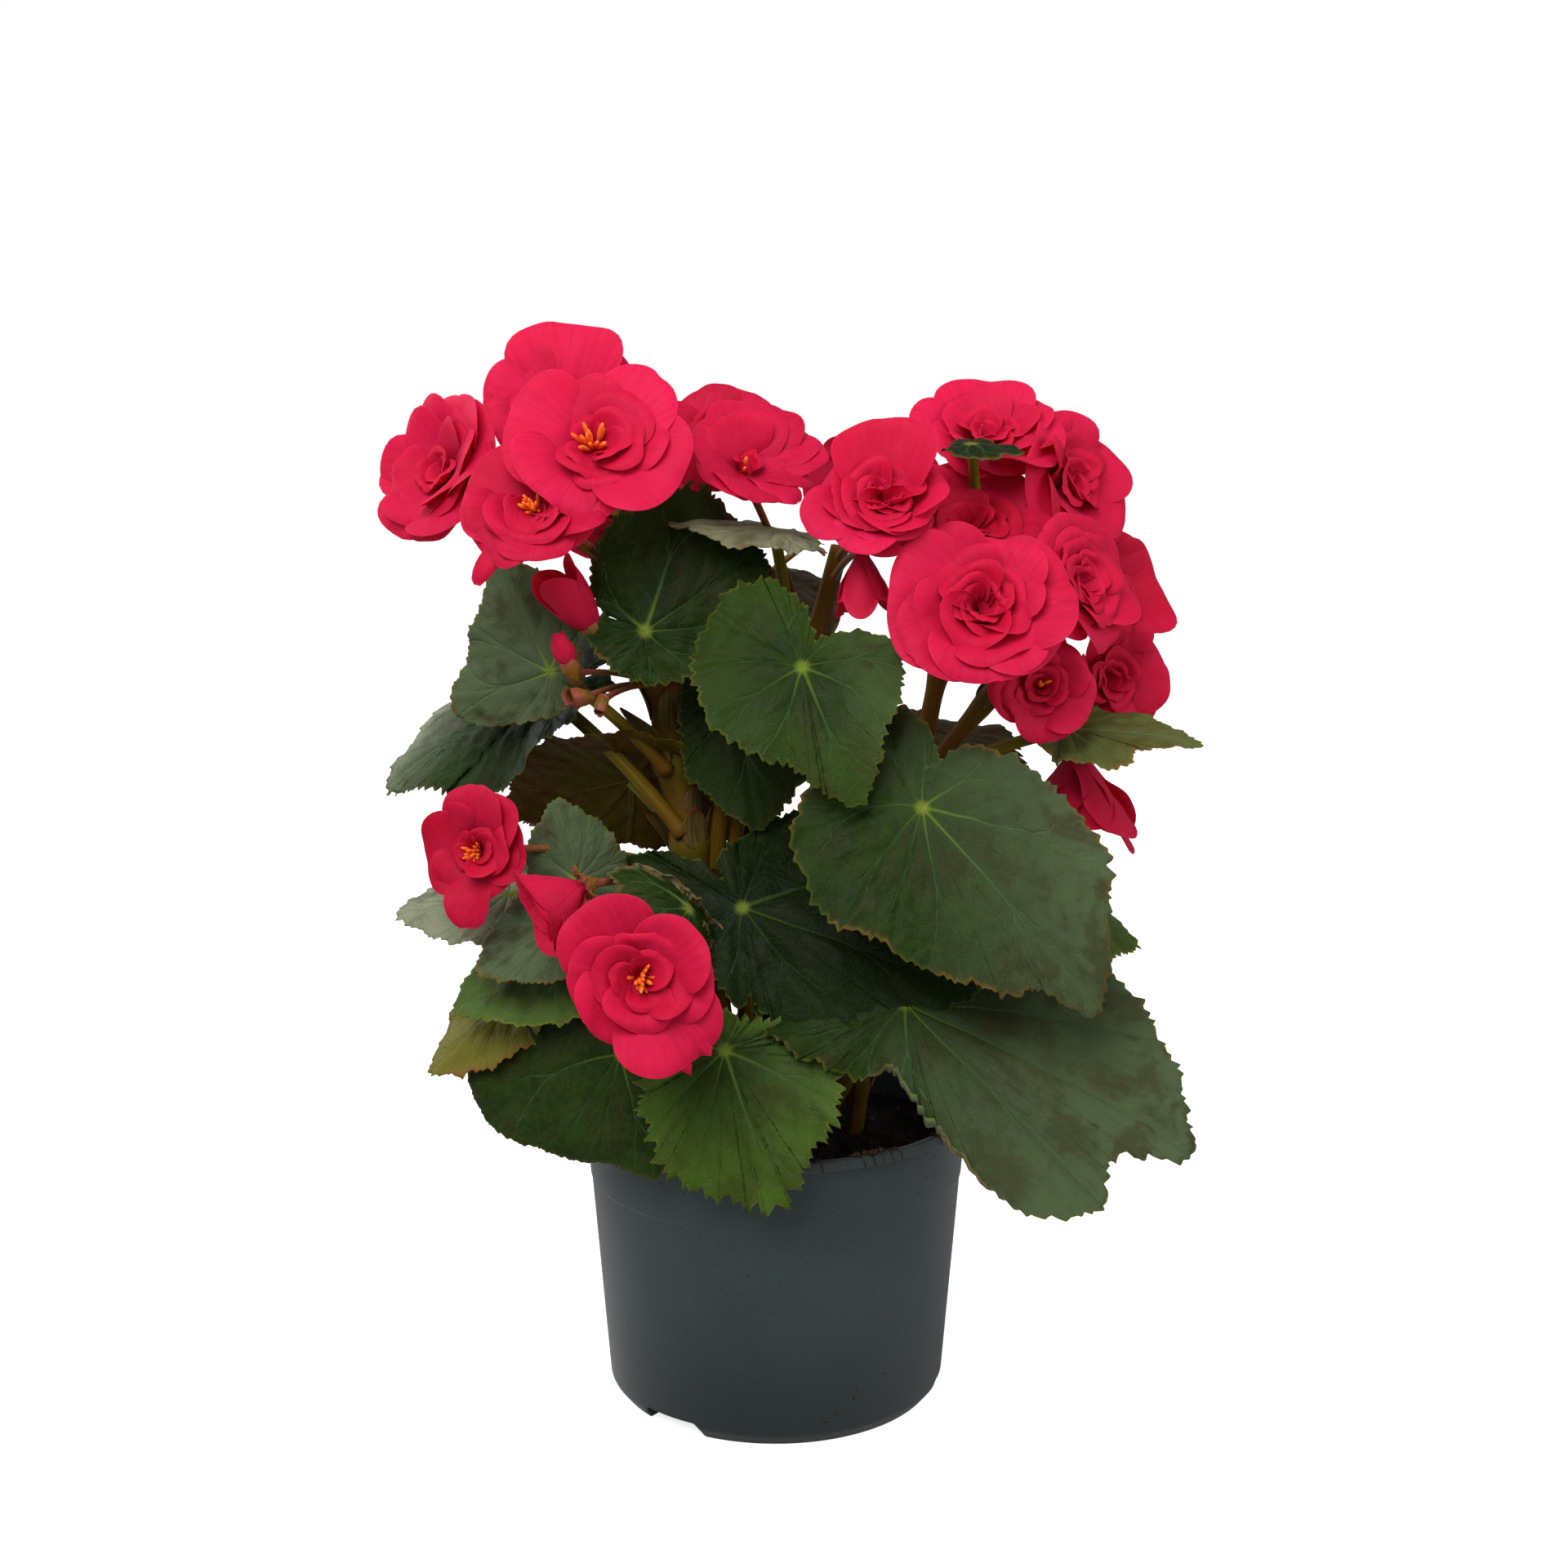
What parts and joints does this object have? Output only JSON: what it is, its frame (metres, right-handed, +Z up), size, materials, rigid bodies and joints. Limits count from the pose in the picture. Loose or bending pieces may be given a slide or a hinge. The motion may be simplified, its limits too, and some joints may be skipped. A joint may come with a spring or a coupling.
{
  "type": "potted begonia",
  "caption": "Tuberous begonia with double red blooms and toothed green leaves, growing in peat in a plain tapered nursery pot that stands on its foot ring.",
  "frame": {"origin": "on the surface the pot stands on, at the centre of the pot's foot, within a few millimetres of the middle of the plant's outline", "axes": "+Z up; -Y is the front that the picture shows, and +X is to its right"},
  "size_m": [0.256, 0.2093, 0.3485],
  "materials": {
    "pot": "matt charcoal moulded plastic",
    "peat": "moist fibrous peat",
    "stem": "smooth olive-brown skin",
    "leaf": "satin, finely quilted, toothed yellow-green edge",
    "petal": "velvety crimson red"
  },
  "bodies": {
    "root": {"stem_main": "stem", "stem_centre": "stem", "stem_right": "stem", "stem_right_inner": "stem", "stem_back": "stem", "leaf_upright_left": "leaf", "leaf_upper_grey": "leaf", "leaf_front_heart": "leaf", "leaf_inner_dark": "leaf", "leaf_front_large": "leaf", "leaf_front_dark": "leaf", "leaf_right_low": "leaf", "leaf_rim_front": "leaf", "leaf_rim_left": "leaf", "leaf_curled": "leaf", "leaf_left_upper": "leaf", "leaf_left_drooping": "leaf", "leaf_left_underside": "leaf", "leaf_left_small_upright": "leaf", "leaf_left_small_far": "leaf", "leaf_left_brown": "leaf", "leaf_left_green": "leaf", "leaf_left_yellow": "leaf", "leaf_bract": "leaf", "leaf_right_pointed": "leaf", "leaf_right_far": "leaf", "leaf_back_top": "leaf", "leaf_back_right": "leaf", "leaf_back_left": "leaf", "leaf_back_low_right": "leaf", "leaf_back_low_left": "leaf", "leaf_back_low": "leaf", "bloom_left_main": "petal", "bloom_left_top": "petal", "bloom_left_side": "petal", "bloom_left_lower": "petal", "bloom_middle_left": "petal", "bloom_middle": "petal", "bud_pair_left": "petal", "bud_left_pink": "petal", "bloom_centre": "petal", "bloom_centre_narrow": "petal", "bloom_right_top": "petal", "bloom_right_upper": "petal", "bloom_right_behind": "petal", "bloom_right_main": "petal", "bloom_right_facing": "petal", "bloom_right_outer": "petal", "bloom_right_lower": "petal", "bloom_right_low_outer": "petal", "bloom_right_hanging": "petal", "bloom_left_low_small": "petal", "bloom_left_half_open": "petal", "bloom_front_low": "petal", "bloom_back_left": "petal", "bloom_back_right": "petal", "bloom_back_low_right": "petal", "bloom_back_low_left": "petal", "pot": "pot", "peat_root_ball": "peat"}
  },
  "joints": []
}
